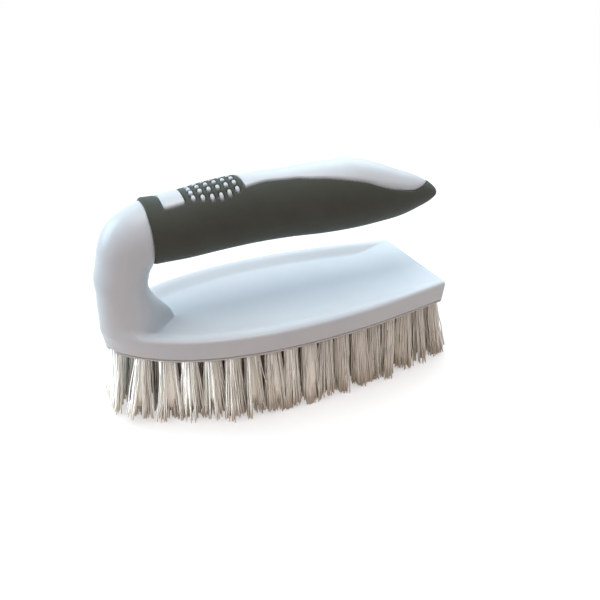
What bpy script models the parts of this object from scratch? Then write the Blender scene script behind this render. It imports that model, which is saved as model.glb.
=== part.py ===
"""Iron-style scrub brush: base and post moulding, soft grip, handle panel, bristle block, tufts.

Lengths are in metres. +X runs from the nose to the free end of the handle, +Y across, +Z up.
The brush stands on its bristle tips at z = 0, with its overall length centred on x = 0.
"""

import math
import random

import bmesh
import bpy
from mathutils import Vector

# Clearances
fit_gap = 0.0003
overrun = 0.002

# Base, seen from above
base_length = 0.1506
base_width = 0.0704
stern_width = 0.0528
nose_to_widest = 0.0784
nose_fullness = 0.008
nose_sweep = 0.060
stern_slope = 0.18
stern_corner = 0.003
stern_curve_shares = (0.40, 0.35)

# Base, seen from the side
bristle_length = 0.0295
base_height = 0.0103
wall_thickness = 0.0022
wall_draft = 0.0009
nose_draft = 0.0014
rim_round = 0.0014
rim_flat = 0.0009
dish_depth = 0.0023
dish_slope = 0.0085
dish_floor_thickness = 0.0022

# Bristle block
flange_thickness = 0.0011
flange_bevel = 0.0004
peg_radius = 0.0015
peg_length = 0.0032
peg_spacing_x = 0.0818
peg_spacing_y = 0.030

# Tufts
row_count = 18
row_end_margin = 0.0058
tuft_pitch = 0.0084
tuft_edge_margin = 0.0043
strand_width = 0.0015
strand_tip_width = 0.0013
strand_root_spacing = 0.0019
strand_tip_spacing = 0.0034
strip_thickness = 0.0012
strip_border = 0.0006
side_splay = 0.0048
nose_splay = 0.0046
stern_splay = 0.0070
strand_waver = 0.0004
ragged_length = 0.0030
trim_depth = 0.0005
tuft_seed = 7

# Post and handle
tip_overhang = 0.0073
finger_gap = 0.024
post_depth = 0.0205
post_width = 0.027
bend_reach = 0.0233
seam_lean = 0.0016
seam_step = 0.0013
handle_depth = 0.0335
handle_width = 0.0312
grip_thickness = 0.0020

# Panel, window and pips on top of the handle
panel_start = 0.0625
panel_tip_margin = 0.0052
panel_width = 0.0244
channel_ledge = 0.0030
channel_floor = 0.0125
skirt_thickness = 0.0012
window_start = 0.0287
window_length = 0.0087
window_width = 0.0150
pip_rise = 0.0003
pip_start = 0.0410
pip_pitch = 0.0036
pip_span = 0.0196
pip_length = 0.0024
pip_breadth = 0.0017
pips_in_row = 5

# Places worked out from the sizes above
overall_length = base_length + tip_overhang
nose_x = -overall_length / 2
stern_x = nose_x + base_length
tip_x = nose_x + overall_length
widest_x = nose_x + nose_to_widest
base_middle_x = (nose_x + stern_x) / 2
block_z = bristle_length
shell_z = block_z + flange_thickness + fit_gap
rim_z = block_z + base_height
dish_z = rim_z - dish_depth
ceiling_z = dish_z - dish_floor_thickness
seam_x = nose_x + bend_reach
channel_z = rim_z + finger_gap + channel_floor
above_handle_z = rim_z + finger_gap + handle_depth + overrun
grip_length = tip_x - seam_x
panel_length = overall_length - panel_start - panel_tip_margin
row_pitch = (base_length - 2 * row_end_margin) / (row_count - 1)
pocket_inset = wall_draft + wall_thickness
pocket_nose_inset = nose_draft + wall_thickness

# Ribs of the post: height as a share of finger_gap, front and back as shares of post_depth,
# half width as a share of half of post_width, and how far the back is drawn to a rounded toe
post_rib_shares = (
    (-0.125, 0.017, 1.700, 1.00, 0.75),
    (0.000, 0.017, 1.600, 1.00, 0.75),
    (0.105, 0.013, 1.469, 1.00, 0.60),
    (0.235, 0.007, 1.286, 1.00, 0.35),
    (0.370, 0.007, 1.162, 1.00, 0.15),
    (0.520, 0.013, 1.066, 0.99, 0.00),
    (0.660, 0.013, 1.019, 0.98, 0.00),
    (0.770, 0.000, 1.022, 0.97, 0.00),
)
toe_power = 1.5

# Ribs of the bend: outer x as a share of bend_reach, outer z as a share of the seam's height,
# inner x and inner z as shares of bend_reach and finger_gap, and how far the half width has
# gone from the post's to the seam's
bend_rib_shares = (
    (0.009, 0.425, 0.919, 0.847, 0.0),
    (0.083, 0.537, 0.926, 0.884, 0.0),
    (0.136, 0.651, 0.935, 0.914, 0.0),
    (0.225, 0.749, 0.947, 0.940, 0.1),
    (0.362, 0.836, 0.958, 0.965, 0.3),
    (0.543, 0.896, 0.968, 0.986, 0.6),
    (0.730, 0.936, 0.967, 1.004, 0.9),
)

# Ribs of the grip: x as a share of grip_length, underside as a share of finger_gap, depth as a
# share of handle_depth, half width as a share of half of handle_width, lean as a share of seam_lean
grip_rib_shares = (
    (0.000, 1.025, 0.805, 0.853, 1.00),
    (0.046, 1.029, 0.796, 0.872, 0.70),
    (0.105, 1.029, 0.822, 0.897, 0.40),
    (0.217, 1.063, 0.858, 0.917, 0.15),
    (0.329, 1.080, 0.870, 0.923, 0.00),
    (0.441, 1.066, 0.874, 0.949, 0.00),
    (0.553, 1.023, 0.913, 0.994, 0.00),
    (0.665, 1.009, 0.921, 0.994, 0.00),
    (0.755, 1.025, 0.817, 0.885, 0.00),
    (0.845, 1.057, 0.642, 0.699, 0.00),
    (0.919, 1.146, 0.455, 0.500, 0.00),
    (0.965, 1.220, 0.291, 0.345, 0.00),
    (0.988, 1.290, 0.161, 0.235, 0.00),
    (1.000, 1.341, 0.052, 0.100, 0.00),
)
core_rib_count = 12

# Half width of the panel along its length, as shares of half of panel_width
panel_half_width_shares = (
    (0.000, 0.594),
    (0.057, 0.530),
    (0.098, 0.499),
    (0.175, 0.523),
    (0.252, 0.566),
    (0.321, 0.680),
    (0.398, 0.774),
    (0.475, 0.887),
    (0.551, 0.975),
    (0.637, 1.000),
    (0.681, 0.982),
    (0.732, 0.933),
    (0.782, 0.855),
    (0.836, 0.761),
    (0.893, 0.639),
    (0.955, 0.410),
    (1.000, 0.102),
)
channel_span_shares = (0.09, 0.74)

# Width of each row of pips, as a share of pip_span
pip_row_shares = (0.73, 0.85, 0.95, 1.00, 0.95, 0.87)

# Heights inside the handle: share 0 is the middle of the section and 1 its top
panel_floor_share = 0.30
skirt_floor_share = 0.45
show_through_floor_share = 0.25

# Roundness of the curves and how finely they are cut into facets
section_power = 2.05
section_sides = 20
nose_steps = 12
stern_steps = 6
corner_steps = 3
rim_steps = 3
slope_steps = 4
peg_sides = 8
pip_sides = 6
smooth_angle = math.radians(35)


def clear_scene():
    for item in list(bpy.data.objects):
        bpy.data.objects.remove(item, do_unlink=True)


def plastic(name, color, roughness):
    material = bpy.data.materials.new(name)
    material.use_nodes = True
    material.diffuse_color = (*color, 1)
    shader = material.node_tree.nodes["Principled BSDF"]
    shader.inputs["Base Color"].default_value = (*color, 1)
    shader.inputs["Roughness"].default_value = roughness
    shader.inputs["Metallic"].default_value = 0
    return material


def make_object(name, bm, material=None):
    bmesh.ops.recalc_face_normals(bm, faces=bm.faces)
    mesh = bpy.data.meshes.new(name)
    bm.to_mesh(mesh)
    bm.free()
    mesh.shade_smooth()
    mesh.set_sharp_from_angle(angle=smooth_angle)
    if material:
        mesh.materials.append(material)
    item = bpy.data.objects.new(name, mesh)
    bpy.context.collection.objects.link(item)
    return item


def make_guide(name, bm):
    guide = make_object(name, bm)
    guide.hide_render = True
    guide.display_type = "WIRE"
    return guide


def combine(item, operand, operation):
    modifier = item.modifiers.new(operation.lower(), "BOOLEAN")
    modifier.operation = operation
    modifier.solver = "EXACT"
    modifier.object = operand


def add_ring(bm, points):
    return [bm.verts.new(point) for point in points]


def bridge(bm, first, second):
    count = len(first)
    for i in range(count):
        j = (i + 1) % count
        bm.faces.new((first[i], first[j], second[j], second[i]))


def loft(bm, rings):
    """Join closed rings into one tube with a face on each end."""
    rows = [add_ring(bm, ring) for ring in rings]
    for first, second in zip(rows, rows[1:]):
        bridge(bm, first, second)
    bm.faces.new(rows[0])
    bm.faces.new(rows[-1])


def bezier(points, steps):
    a, b, c, d = (Vector(point) for point in points)
    curve = []
    for i in range(steps + 1):
        t = i / steps
        s = 1 - t
        curve.append(a * s**3 + b * (3 * s * s * t) + c * (3 * s * t * t) + d * t**3)
    return curve


def base_side(inset, nose_inset=None):
    """One side of the base outline, nose to stern, drawn in by inset."""
    if nose_inset is None:
        nose_inset = inset
    half_width = base_width / 2 - inset
    half_stern = stern_width / 2 - inset
    stern_run = stern_x - widest_x
    rear_pull = stern_run * stern_curve_shares[1]
    nose = Vector((nose_x + nose_inset, 0))
    widest = Vector((widest_x, half_width))
    corner = Vector((stern_x - inset, half_stern))
    nose_curve = bezier(
        (nose, nose + Vector((0, nose_fullness)), widest - Vector((nose_sweep, 0)), widest),
        nose_steps,
    )
    stern_curve = bezier(
        (
            widest,
            widest + Vector((stern_run * stern_curve_shares[0], 0)),
            corner + Vector((-rear_pull, rear_pull * stern_slope)),
            corner,
        ),
        stern_steps,
    )
    radius = max(stern_corner - inset, fit_gap)
    start = corner + Vector((-radius, radius * stern_slope))
    end = corner + Vector((0, -radius))
    arc = []
    for i in range(corner_steps + 1):
        t = i / corner_steps
        arc.append(start * (1 - t) ** 2 + corner * (2 * t * (1 - t)) + end * t * t)
    return nose_curve[:-1] + stern_curve[:-1] + arc


def base_outline(inset, z, nose_inset=None):
    side = base_side(inset, nose_inset)
    right = [Vector((p.x, -p.y, z)) for p in side]
    left = [Vector((p.x, p.y, z)) for p in reversed(side[1:])]
    return right + left


def base_half_width(x):
    """Half width of the base's lower edge at a place along the brush."""
    side = base_side(wall_draft, nose_draft)
    for first, second in zip(side, side[1:]):
        if first.x <= x <= second.x:
            t = (x - first.x) / (second.x - first.x)
            return first.y + (second.y - first.y) * t
    return 0


def base_shell():
    """Hollow boat-shaped shell, open below, with a shallow dish in its top."""
    rings = [
        base_outline(pocket_inset, ceiling_z, pocket_nose_inset),
        base_outline(pocket_inset, shell_z, pocket_nose_inset),
        base_outline(wall_draft, shell_z, nose_draft),
    ]
    for i in range(rim_steps + 1):
        turn = math.radians(90) * i / rim_steps
        inset = rim_round * (1 - math.cos(turn))
        rings.append(base_outline(inset, rim_z - rim_round * (1 - math.sin(turn))))
    crest = rim_round + rim_flat
    for i in range(slope_steps + 1):
        share = i / slope_steps
        fall = dish_depth * (1 - math.cos(math.pi * share)) / 2
        rings.append(base_outline(crest + dish_slope * share, rim_z - fall))
    bm = bmesh.new()
    loft(bm, rings)
    return bm


def peg_places():
    for side_x in (-1, 1):
        for side_y in (-1, 1):
            yield base_middle_x + side_x * peg_spacing_x / 2, side_y * peg_spacing_y / 2


def add_prism(bm, outline, low, high):
    loft(bm, [[(x, y, low) for x, y in outline], [(x, y, high) for x, y in outline]])


def round_outline(x, y, radius_x, radius_y, sides):
    points = []
    for i in range(sides):
        turn = math.tau * (i + 0.5) / sides
        points.append((x + radius_x * math.cos(turn), y + radius_y * math.sin(turn)))
    return points


def box_outline(x_low, x_high, y_low, y_high):
    return ((x_low, y_low), (x_high, y_low), (x_high, y_high), (x_low, y_high))


def pegs(radius, low, high):
    bm = bmesh.new()
    for x, y in peg_places():
        add_prism(bm, round_outline(x, y, radius, radius, peg_sides), low, high)
    return bm


def post_and_bend_ribs():
    """Each rib is its outer point, its inner point, its half width and its toe share."""
    ribs = []
    for height, front, back, width, toe in post_rib_shares:
        z = rim_z + height * finger_gap
        outer = Vector((nose_x + front * post_depth, 0, z))
        inner = Vector((nose_x + back * post_depth, 0, z))
        ribs.append((outer, inner, width * post_width / 2, toe))
    post_half_width = ribs[-1][2]
    seam_top, seam_foot, seam_half_width, no_toe = grip_ribs()[0]
    for outer_x, outer_z, inner_x, inner_z, share in bend_rib_shares:
        outer = Vector((nose_x + outer_x * bend_reach, 0, rim_z + outer_z * (seam_top.z - rim_z)))
        inner = Vector((nose_x + inner_x * bend_reach, 0, rim_z + inner_z * finger_gap))
        half_width = post_half_width * (1 - share) + seam_half_width * share
        ribs.append((outer, inner, half_width, 0))
    return ribs


def grip_ribs():
    ribs = []
    for along, under, depth, width, lean in grip_rib_shares:
        x = seam_x + along * grip_length
        z = rim_z + under * finger_gap
        outer = Vector((x - lean * seam_lean, 0, z + depth * handle_depth))
        ribs.append((outer, Vector((x, 0, z)), width * handle_width / 2, 0))
    return ribs


def section(rib, inset, shift=0):
    """Rounded section of the handle at a rib, drawn in by inset and moved along by shift."""
    outer, inner, half_width, toe = rib
    centre = (outer + inner) / 2 + Vector((shift, 0, 0))
    half_depth = (outer - inner).length / 2 - inset
    upward = (outer - inner).normalized()
    points = []
    for i in range(section_sides):
        turn = math.tau * i / section_sides
        c, s = math.cos(turn), math.sin(turn)
        rise = math.copysign(abs(c) ** (2 / section_power), c) * half_depth
        side = math.copysign(abs(s) ** (2 / section_power), s) * (half_width - inset)
        side *= 1 - toe * max(0, -c) ** toe_power
        points.append(centre + upward * rise + Vector((0, side, 0)))
    return points


def section_floor(x, share):
    """Height in the handle at x: share 0 is the middle of the section, 1 its top."""
    ribs = grip_ribs()
    for first, second in zip(ribs, ribs[1:]):
        if x <= second[1].x:
            break
    t = (x - first[1].x) / (second[1].x - first[1].x)
    top = first[0].z + (second[0].z - first[0].z) * t
    bottom = first[1].z + (second[1].z - first[1].z) * t
    return (top + bottom) / 2 + share * (top - bottom) / 2


def handle_form(inset, rib_count=None):
    """The handle behind the seam as one closed form, whole or as far as a number of ribs."""
    bm = bmesh.new()
    loft(bm, [section(rib, inset) for rib in grip_ribs()[:rib_count]])
    return bm


def moulding_stem():
    """Post, bend and handle core, with the step at the seam that the grip butts against."""
    rings = [section(rib, 0) for rib in post_and_bend_ribs()]
    rings.append(section(grip_ribs()[0], seam_step))
    rings += [section(rib, grip_thickness) for rib in grip_ribs()[:core_rib_count]]
    bm = bmesh.new()
    loft(bm, rings)
    return bm


def grip_sleeve():
    """Soft sleeve, open at the seam and closed at the tip."""
    ribs = grip_ribs()
    bore_inset = grip_thickness - fit_gap
    bore = [section(rib, bore_inset) for rib in ribs[:core_rib_count]]
    bore[0] = section(ribs[0], bore_inset, fit_gap)
    bore[-1] = section(ribs[core_rib_count - 1], bore_inset, fit_gap)
    skin = [section(ribs[0], 0, fit_gap)] + [section(rib, 0) for rib in ribs[1:]]
    bm = bmesh.new()
    loft(bm, list(reversed(bore)) + skin)
    return bm


def panel_stations(grow, first_share=0, last_share=1):
    """Places along the panel and its half width there, grown sideways by grow."""
    start = nose_x + panel_start
    stations = []
    for along, width in panel_half_width_shares:
        if first_share <= along <= last_share:
            stations.append((start + along * panel_length, width * panel_width / 2 + grow))
    return stations


def add_ladder(bm, stations, lows, high):
    """Closed upright solid between two mirrored edges, with its own floor height at each place."""
    rings = []
    for (x, half_width), low in zip(stations, lows):
        rings.append(
            [(x, -half_width, low), (x, half_width, low), (x, half_width, high), (x, -half_width, high)]
        )
    loft(bm, rings)


def panel_block(grow, lift):
    """Upright block with the panel's outline, from inside the handle to above it."""
    stations = panel_stations(grow)
    first_x, first_width = stations[0]
    last_x, last_width = stations[-1]
    stations[0] = (first_x - grow, first_width)
    stations[-1] = (last_x + grow, last_width)
    lows = [section_floor(x, panel_floor_share) + lift for x, half_width in stations]
    bm = bmesh.new()
    add_ladder(bm, stations, lows, above_handle_z)
    return bm


def channel_block(inset, floor):
    """Upright block inside the panel's outline, for the channel and the panel's skirt."""
    stations = panel_stations(-channel_ledge - inset, *channel_span_shares)
    first_x, first_width = stations[0]
    last_x, last_width = stations[-1]
    stations[0] = (first_x + inset, first_width)
    stations[-1] = (last_x - inset, last_width)
    lows = [floor(x) for x, half_width in stations]
    bm = bmesh.new()
    add_ladder(bm, stations, lows, above_handle_z)
    return bm


def pip_places():
    """Rows of pips across the handle, each with its own width."""
    for row, share in enumerate(pip_row_shares):
        for i in range(pips_in_row):
            y = (i / (pips_in_row - 1) - 1 / 2) * share * (pip_span - pip_length)
            yield nose_x + pip_start + row * pip_pitch, y


def show_through_blocks(grow):
    """Upright blocks for the window and the pips that show through the grip."""
    bm = bmesh.new()
    start = nose_x + window_start
    half_width = window_width / 2 + grow
    outline = box_outline(start - grow, start + window_length + grow, -half_width, half_width)
    middle_x = start + window_length / 2
    add_prism(bm, outline, section_floor(middle_x, show_through_floor_share), above_handle_z)
    for x, y in pip_places():
        outline = round_outline(x, y, pip_breadth / 2 + grow, pip_length / 2 + grow, pip_sides)
        add_prism(bm, outline, section_floor(x, show_through_floor_share), above_handle_z)
    return bm


def build_moulding(material):
    """One moulding: base shell, post, handle core, window, pips and pegs."""
    moulding = make_object("body_moulding", moulding_stem(), material)
    combine(moulding, make_guide("base_shell_form", base_shell()), "UNION")
    peg_form = pegs(peg_radius, ceiling_z - peg_length, ceiling_z + dish_floor_thickness / 2)
    combine(moulding, make_guide("peg_form", peg_form), "UNION")
    raised = make_guide("raised_form", handle_form(-pip_rise))
    combine(raised, make_guide("show_through_form", show_through_blocks(0)), "INTERSECT")
    combine(moulding, raised, "UNION")
    channel = channel_block(0, lambda x: channel_z)
    combine(moulding, make_guide("channel_form", channel), "DIFFERENCE")
    return moulding


def build_grip(material):
    grip = make_object("soft_grip", grip_sleeve(), material)
    combine(grip, make_guide("show_through_hole", show_through_blocks(fit_gap)), "DIFFERENCE")
    combine(grip, make_guide("panel_hole", panel_block(fit_gap, 0)), "DIFFERENCE")
    return grip


def build_panel(material):
    """Cap over the channel, flush with the grip, with a skirt that locates it."""
    panel = make_object("handle_panel", handle_form(0), material)
    combine(panel, make_guide("panel_form", panel_block(0, fit_gap)), "INTERSECT")
    bed = handle_form(grip_thickness - fit_gap, core_rib_count)
    combine(panel, make_guide("panel_bed", bed), "DIFFERENCE")
    combine(panel, panel_skirt(), "UNION")
    return panel


def panel_skirt():
    """Thin wall under the panel that drops into the channel."""

    def floor(x):
        return section_floor(x, skirt_floor_share)

    skirt = make_guide("skirt_form", channel_block(fit_gap, floor))
    hollow = channel_block(fit_gap + skirt_thickness, lambda x: floor(x) - overrun)
    combine(skirt, make_guide("skirt_hollow", hollow), "DIFFERENCE")
    limit = handle_form(grip_thickness / 2, core_rib_count)
    combine(skirt, make_guide("skirt_limit", limit), "INTERSECT")
    return skirt


def build_block(material):
    """Plate with a flange that closes the shell and a raised part inside the pocket."""
    flange_z = block_z + flange_thickness
    spigot_inset = pocket_inset + fit_gap
    spigot_nose_inset = pocket_nose_inset + fit_gap
    rings = (
        base_outline(wall_draft + flange_bevel, block_z, nose_draft + flange_bevel),
        base_outline(wall_draft, block_z + flange_bevel, nose_draft),
        base_outline(wall_draft, flange_z, nose_draft),
        base_outline(spigot_inset, flange_z, spigot_nose_inset),
        base_outline(spigot_inset, ceiling_z - fit_gap, spigot_nose_inset),
    )
    bm = bmesh.new()
    loft(bm, rings)
    block = make_object("bristle_block", bm, material)
    holes = pegs(peg_radius + fit_gap, ceiling_z - peg_length - fit_gap, ceiling_z + overrun)
    combine(block, make_guide("peg_holes", holes), "DIFFERENCE")
    grooves = bmesh.new()
    for number in range(row_count):
        half_length = strip_half_length(number) + fit_gap
        half_width = strip_half_width() + fit_gap
        x = row_x(number)
        outline = box_outline(x - half_width, x + half_width, -half_length, half_length)
        add_prism(grooves, outline, block_z - overrun, block_z + strip_thickness + fit_gap)
    combine(block, make_guide("strip_grooves", grooves), "DIFFERENCE")
    return block


def row_x(number):
    return base_middle_x + (number - (row_count - 1) / 2) * row_pitch


def strip_half_width():
    return (strand_root_spacing + strand_width) / 2 + strip_border


def tuft_places(number):
    """Tuft places across one row, from edge to edge of the base."""
    x = row_x(number)
    reach = strip_half_width()
    narrow = min(base_half_width(x - reach), base_half_width(x + reach))
    half_span = narrow - tuft_edge_margin
    count = round(2 * half_span / tuft_pitch) + 1
    if count < 2:
        return [0]
    return [half_span * (2 * i / (count - 1) - 1) for i in range(count)]


def strip_half_length(number):
    return tuft_places(number)[-1] + strip_half_width()


def splay(x, y):
    """How far a strand leans outwards at its tip, more towards the edges of the brush."""
    along = (x - base_middle_x) / (base_length / 2)
    across = y / (base_width / 2)
    end_splay = stern_splay if along > 0 else nose_splay
    return Vector((end_splay * along**5, side_splay * across**3, 0))


def strand_ring(centre, width):
    """Corners of one three-sided strand; width is the length of a side."""
    radius = width / math.sqrt(3)
    turns = [math.tau * i / 3 for i in range(3)]
    return [centre + radius * Vector((math.cos(turn), math.sin(turn), 0)) for turn in turns]


def tuft_strand(bm, middle, side_x, side_y, chance):
    """One strand of a tuft, open at its root. Returns the corners of its root."""
    offset = Vector((side_x, side_y, 0)) / 2
    root = middle + offset * strand_root_spacing
    full_tip = middle + offset * strand_tip_spacing + splay(middle.x, middle.y)
    full_tip += Vector((chance.uniform(-1, 1), chance.uniform(-1, 1), 0)) * strand_waver
    full_tip.z = -trim_depth
    longest = side_x < 0 and side_y < 0
    short = 0 if longest else ragged_length * chance.random()
    tip_z = max(0, short - trim_depth)
    share = (block_z - tip_z) / (block_z + trim_depth)
    tip = root + (full_tip - root) * share
    tip.z = tip_z
    root_ring = add_ring(bm, strand_ring(root, strand_width))
    tip_ring = add_ring(bm, strand_ring(tip, strand_tip_width))
    bridge(bm, root_ring, tip_ring)
    bm.faces.new(tip_ring)
    return root_ring


def fill_round_strand(bm, corners, ring):
    """Faces between a cell of the strip's underside and the three-sided strand in it."""
    south_west, south_east, north_east, north_west = corners
    east, north, south = ring
    for face in (
        (south_west, south_east, south),
        (south_east, east, south),
        (south_east, north_east, east),
        (north_east, north, east),
        (north_east, north_west, north),
        (north_west, south_west, north),
        (south_west, south, north),
    ):
        bm.faces.new(face)


def build_tuft_row(number, material, chance):
    """One strip of the block with the strands of its tufts fused to it."""
    x = row_x(number)
    half_width = strip_half_width()
    half_length = strip_half_length(number)
    places = tuft_places(number)
    lines = [-half_length]
    for y, next_y in zip(places, places[1:]):
        lines += [y, (y + next_y) / 2]
    lines += [places[-1], half_length]
    columns = (x - half_width, x, x + half_width)
    bm = bmesh.new()
    grid = [add_ring(bm, [(px, py, block_z) for px in columns]) for py in lines]
    for i, tuft_y in enumerate(places):
        for side_y, line in ((-1, 2 * i), (1, 2 * i + 1)):
            for side_x, column in ((-1, 0), (1, 1)):
                ring = tuft_strand(bm, Vector((x, tuft_y, block_z)), side_x, side_y, chance)
                low, high = grid[line], grid[line + 1]
                fill_round_strand(bm, (low[column], low[column + 1], high[column + 1], high[column]), ring)
    outline = box_outline(columns[0], columns[-1], -half_length, half_length)
    south_west, south_east, north_east, north_west = add_ring(
        bm, [(px, py, block_z + strip_thickness) for px, py in outline]
    )
    bm.faces.new((south_west, south_east, north_east, north_west))
    bm.faces.new(grid[0] + [south_east, south_west])
    bm.faces.new(grid[-1] + [north_east, north_west])
    bm.faces.new([line[0] for line in grid] + [north_west, south_west])
    bm.faces.new([line[-1] for line in grid] + [north_east, south_east])
    return make_object(f"tuft_row_{number + 1:02d}", bm, material)


def build_brush():
    clear_scene()
    white = plastic("white_plastic", (0.78, 0.82, 0.87), 0.32)
    grey = plastic("grip_rubber", (0.075, 0.088, 0.078), 0.62)
    block_white = plastic("block_plastic", (0.72, 0.71, 0.70), 0.45)
    nylon = plastic("bristle_nylon", (0.76, 0.74, 0.66), 0.50)
    build_moulding(white)
    build_grip(grey)
    build_panel(white)
    build_block(block_white)
    chance = random.Random(tuft_seed)
    for number in range(row_count):
        build_tuft_row(number, nylon, chance)


build_brush()
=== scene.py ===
"""Looks of the iron-style scrub brush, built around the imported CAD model.

Lengths are in metres, in the CAD's frame. The rigid pieces are distance fields on a fine grid,
turned into smooth meshes. Each tuft of bristles is single filaments round a packed heart.
"""

import math

import bpy
import numpy as np
import openvdb
from mathutils import Matrix, Vector

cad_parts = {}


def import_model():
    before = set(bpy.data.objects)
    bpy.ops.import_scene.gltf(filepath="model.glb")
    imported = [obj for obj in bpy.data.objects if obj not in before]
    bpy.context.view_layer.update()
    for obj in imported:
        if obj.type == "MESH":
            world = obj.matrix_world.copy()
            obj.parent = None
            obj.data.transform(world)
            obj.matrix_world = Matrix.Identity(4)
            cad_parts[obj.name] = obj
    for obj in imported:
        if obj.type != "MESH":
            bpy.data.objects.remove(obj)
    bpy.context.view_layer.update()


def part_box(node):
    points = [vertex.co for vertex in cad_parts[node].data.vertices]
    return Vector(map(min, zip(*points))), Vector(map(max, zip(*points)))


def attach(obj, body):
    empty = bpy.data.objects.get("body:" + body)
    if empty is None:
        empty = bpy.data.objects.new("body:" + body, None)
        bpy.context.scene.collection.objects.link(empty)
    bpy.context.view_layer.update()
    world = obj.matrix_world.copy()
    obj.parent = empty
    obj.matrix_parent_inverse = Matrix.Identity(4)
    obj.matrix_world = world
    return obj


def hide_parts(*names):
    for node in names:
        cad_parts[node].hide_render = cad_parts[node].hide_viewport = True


# Sizes repeated from part.py
fit_gap = 0.0003
base_length = 0.1506
base_width = 0.0704
stern_width = 0.0528
nose_to_widest = 0.0784
nose_fullness = 0.008
nose_sweep = 0.060
stern_slope = 0.18
stern_curve_shares = (0.40, 0.35)
bristle_length = 0.0295
base_height = 0.0103
wall_thickness = 0.0022
wall_draft = 0.0009
nose_draft = 0.0014
rim_round = 0.0014
rim_flat = 0.0009
dish_depth = 0.0023
dish_slope = 0.0085
dish_floor_thickness = 0.0022
flange_thickness = 0.0011
flange_bevel = 0.0004
row_count = 18
row_end_margin = 0.0058
tuft_pitch = 0.0084
tuft_edge_margin = 0.0043
strip_half_width = 0.0023
tip_overhang = 0.0073
finger_gap = 0.024
post_depth = 0.0205
post_width = 0.027
bend_reach = 0.0233
seam_lean = 0.0016
seam_step = 0.0013
handle_depth = 0.0335
handle_width = 0.0312
grip_thickness = 0.0020
panel_start = 0.0625
panel_tip_margin = 0.0052
panel_width = 0.0244
window_start = 0.0287
window_length = 0.0087
window_width = 0.0150
pip_rise = 0.0003
pip_start = 0.0410
pip_pitch = 0.0036
pip_span = 0.0196
pip_length = 0.0024
pip_breadth = 0.0017
pips_in_row = 5
section_power = 2.05
toe_power = 1.5
panel_floor_share = 0.30
show_through_floor_share = 0.25

# Places worked out from the sizes above
overall_length = base_length + tip_overhang
nose_x = -overall_length / 2
stern_x = nose_x + base_length
tip_x = nose_x + overall_length
widest_x = nose_x + nose_to_widest
base_middle_x = (nose_x + stern_x) / 2
block_z = bristle_length
flange_z = block_z + flange_thickness
rim_z = block_z + base_height
dish_z = rim_z - dish_depth
ceiling_z = dish_z - dish_floor_thickness
gap_top_z = rim_z + finger_gap
handle_top_z = gap_top_z + handle_depth
seam_x = nose_x + bend_reach
grip_length = tip_x - seam_x
row_pitch = (base_length - 2 * row_end_margin) / (row_count - 1)
panel_length = overall_length - panel_start - panel_tip_margin

# Tables repeated from part.py, where each column is explained
post_rib_shares = (
    (-0.125, 0.017, 1.700, 1.00, 0.75),
    (0.000, 0.017, 1.600, 1.00, 0.75),
    (0.105, 0.013, 1.469, 1.00, 0.60),
    (0.235, 0.007, 1.286, 1.00, 0.35),
    (0.370, 0.007, 1.162, 1.00, 0.15),
    (0.520, 0.013, 1.066, 0.99, 0.00),
    (0.660, 0.013, 1.019, 0.98, 0.00),
    (0.770, 0.000, 1.022, 0.97, 0.00),
)
bend_rib_shares = (
    (0.009, 0.425, 0.919, 0.847, 0.0),
    (0.083, 0.537, 0.926, 0.884, 0.0),
    (0.136, 0.651, 0.935, 0.914, 0.0),
    (0.225, 0.749, 0.947, 0.940, 0.1),
    (0.362, 0.836, 0.958, 0.965, 0.3),
    (0.543, 0.896, 0.968, 0.986, 0.6),
    (0.730, 0.936, 0.967, 1.004, 0.9),
)
grip_rib_shares = (
    (0.000, 1.025, 0.805, 0.853, 1.00),
    (0.046, 1.029, 0.796, 0.872, 0.70),
    (0.105, 1.029, 0.822, 0.897, 0.40),
    (0.217, 1.063, 0.858, 0.917, 0.15),
    (0.329, 1.080, 0.870, 0.923, 0.00),
    (0.441, 1.066, 0.874, 0.949, 0.00),
    (0.553, 1.023, 0.913, 0.994, 0.00),
    (0.665, 1.009, 0.921, 0.994, 0.00),
    (0.755, 1.025, 0.817, 0.885, 0.00),
    (0.845, 1.057, 0.642, 0.699, 0.00),
    (0.919, 1.146, 0.455, 0.500, 0.00),
    (0.965, 1.220, 0.291, 0.345, 0.00),
    (0.988, 1.290, 0.161, 0.235, 0.00),
    (1.000, 1.341, 0.052, 0.100, 0.00),
)
core_rib_count = 12
panel_half_width_shares = (
    (0.000, 0.594),
    (0.057, 0.530),
    (0.098, 0.499),
    (0.175, 0.523),
    (0.252, 0.566),
    (0.321, 0.680),
    (0.398, 0.774),
    (0.475, 0.887),
    (0.551, 0.975),
    (0.637, 1.000),
    (0.681, 0.982),
    (0.732, 0.933),
    (0.782, 0.855),
    (0.836, 0.761),
    (0.893, 0.639),
    (0.955, 0.410),
    (1.000, 0.102),
)
pip_row_shares = (0.73, 0.85, 0.95, 1.00, 0.95, 0.87)

# What only the looks have: roundings, fillets and a finer joint line. The foot's lowest ribs also
# reach less far back, by these shares of the post's depth.
foot_trim_shares = (0.18, 0.12, 0.05, 0, 0, 0, 0, 0)
foot_fillet = 0.0065
foot_toe_fillet = 0.0012
foot_join = 0.0006
foot_fillet_end = 0.010
foot_fillet_fade = 0.009
nose_draft_reach = 0.030
rim_blend = 0.0016
stern_corner_shown = 0.0014
lower_edge_round = 0.0004
seam_gap = 0.0001
dish_stern_slope = 0.024
grip_edge_round = 0.0011
hole_edge_round = 0.0004
panel_edge_round = 0.0004
window_corner = 0.0010
show_through_depth = 0.0045
bore_overrun = 0.003

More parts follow.
